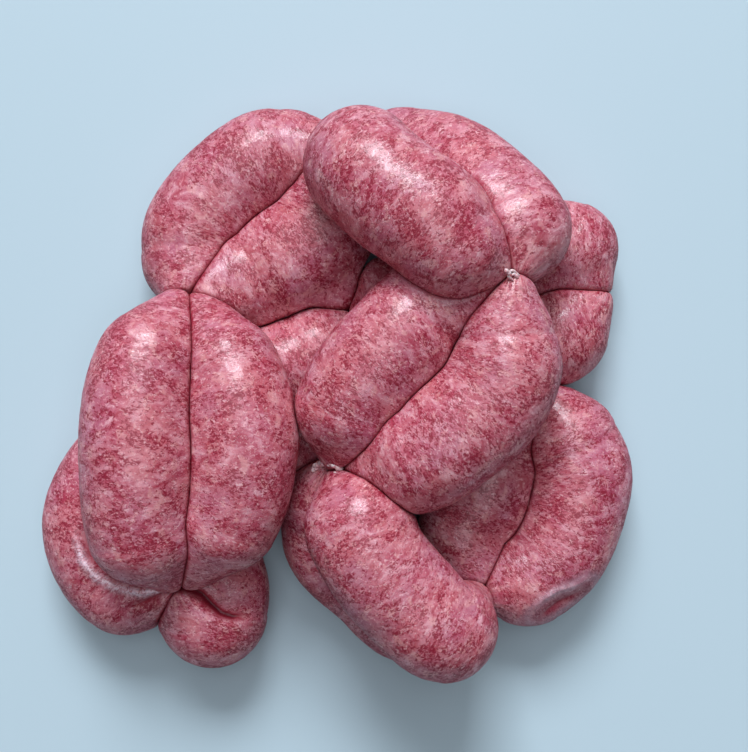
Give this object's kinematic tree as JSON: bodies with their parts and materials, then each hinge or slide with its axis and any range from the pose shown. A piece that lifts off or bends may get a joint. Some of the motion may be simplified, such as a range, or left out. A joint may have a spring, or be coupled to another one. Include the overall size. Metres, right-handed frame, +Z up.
{
  "type": "string of sausage links",
  "caption": "Heap of raw sausage links, twisted off in pairs along one folded string, with short casing twists where the pairs meet.",
  "frame": {"origin": "centre of the heap's outline, at the surface the bottom links lie on", "axes": "+Z up; +Y from the end held by link_8a towards the end held by link_6a; +X towards the loose pairs link_1a and link_9a"},
  "size_m": [0.2118, 0.2026, 0.0764],
  "materials": {
    "meat": "moist raw minced pork in a thin translucent casing, mottled red and pink",
    "casing": "empty casing twisted into a short pale rope, moist"
  },
  "bodies": {
    "root": {"link_1a": "meat", "link_1b": "meat", "link_2a": "meat", "link_2b": "meat", "link_3a": "meat", "link_3b": "meat", "link_4a": "meat", "link_4b": "meat", "link_5a": "meat", "link_5b": "meat", "link_6a": "meat", "link_6b": "meat", "link_7a": "meat", "link_7b": "meat", "link_8a": "meat", "link_8b": "meat", "link_9a": "meat", "link_9b": "meat", "twist_01": "casing", "twist_02": "casing", "twist_03": "casing", "twist_04": "casing", "twist_05": "casing", "twist_06": "casing", "twist_07": "casing", "twist_08": "casing", "twist_09": "casing", "twist_10": "casing"}
  },
  "joints": []
}
